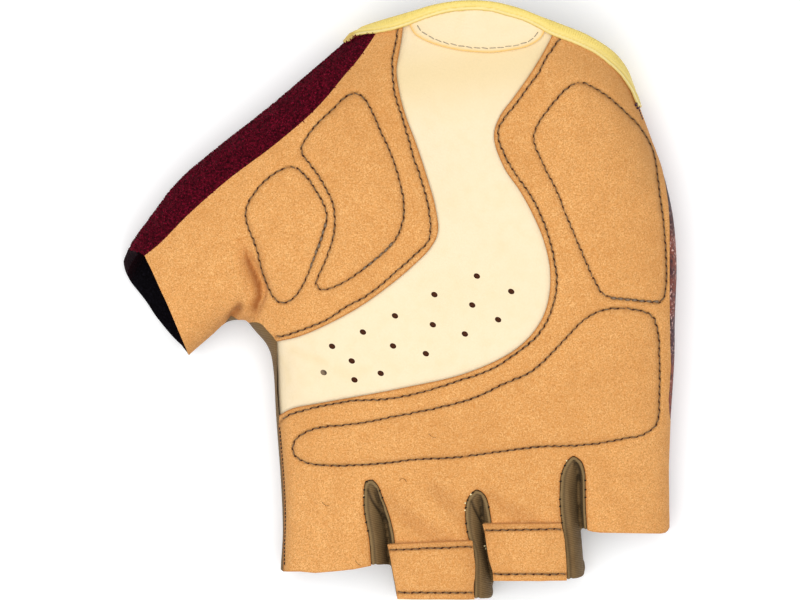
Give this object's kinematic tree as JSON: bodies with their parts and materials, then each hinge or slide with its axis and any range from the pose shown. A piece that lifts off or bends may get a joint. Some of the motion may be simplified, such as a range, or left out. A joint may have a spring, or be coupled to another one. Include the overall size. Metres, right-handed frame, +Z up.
{
  "type": "cycling mitt",
  "caption": "Right-hand fingerless cycling mitt lying palm up: padded suede palm, pale stretch channel, terry thumb, printed back and elastic cuff.",
  "frame": {"origin": "on the surface that the mitt lies on, under the middle of its outline", "axes": "+Z up out of the palm, +Y from the fingers to the cuff, +X from the thumb to the little finger"},
  "size_m": [0.1434, 0.1553, 0.0325],
  "materials": {
    "suede": "brushed suede",
    "stretch_cloth": "smooth knit",
    "terry_cloth": "looped pile",
    "lining_cloth": "brushed knit",
    "olive_twill": "stretch twill",
    "printed_cloth": "printed knit",
    "elastic_binding": "ribbed elastic",
    "foam": "open-cell foam"
  },
  "bodies": {
    "root": {"palm_suede": "suede", "thumb_suede": "suede", "palm_channel": "stretch_cloth", "heel_patch": "stretch_cloth", "thumb_terry": "terry_cloth", "thumb_lining": "lining_cloth", "thumb_gusset": "olive_twill", "fourchette_index_middle": "olive_twill", "fourchette_middle_ring": "olive_twill", "fourchette_ring_little": "olive_twill", "back_panel": "printed_cloth", "cuff_binding": "elastic_binding", "pull_tab_middle": "suede", "pull_tab_ring": "suede", "thumb_pad": "foam", "thenar_pad": "foam", "heel_pad": "foam", "knuckle_pad": "foam"}
  },
  "joints": []
}
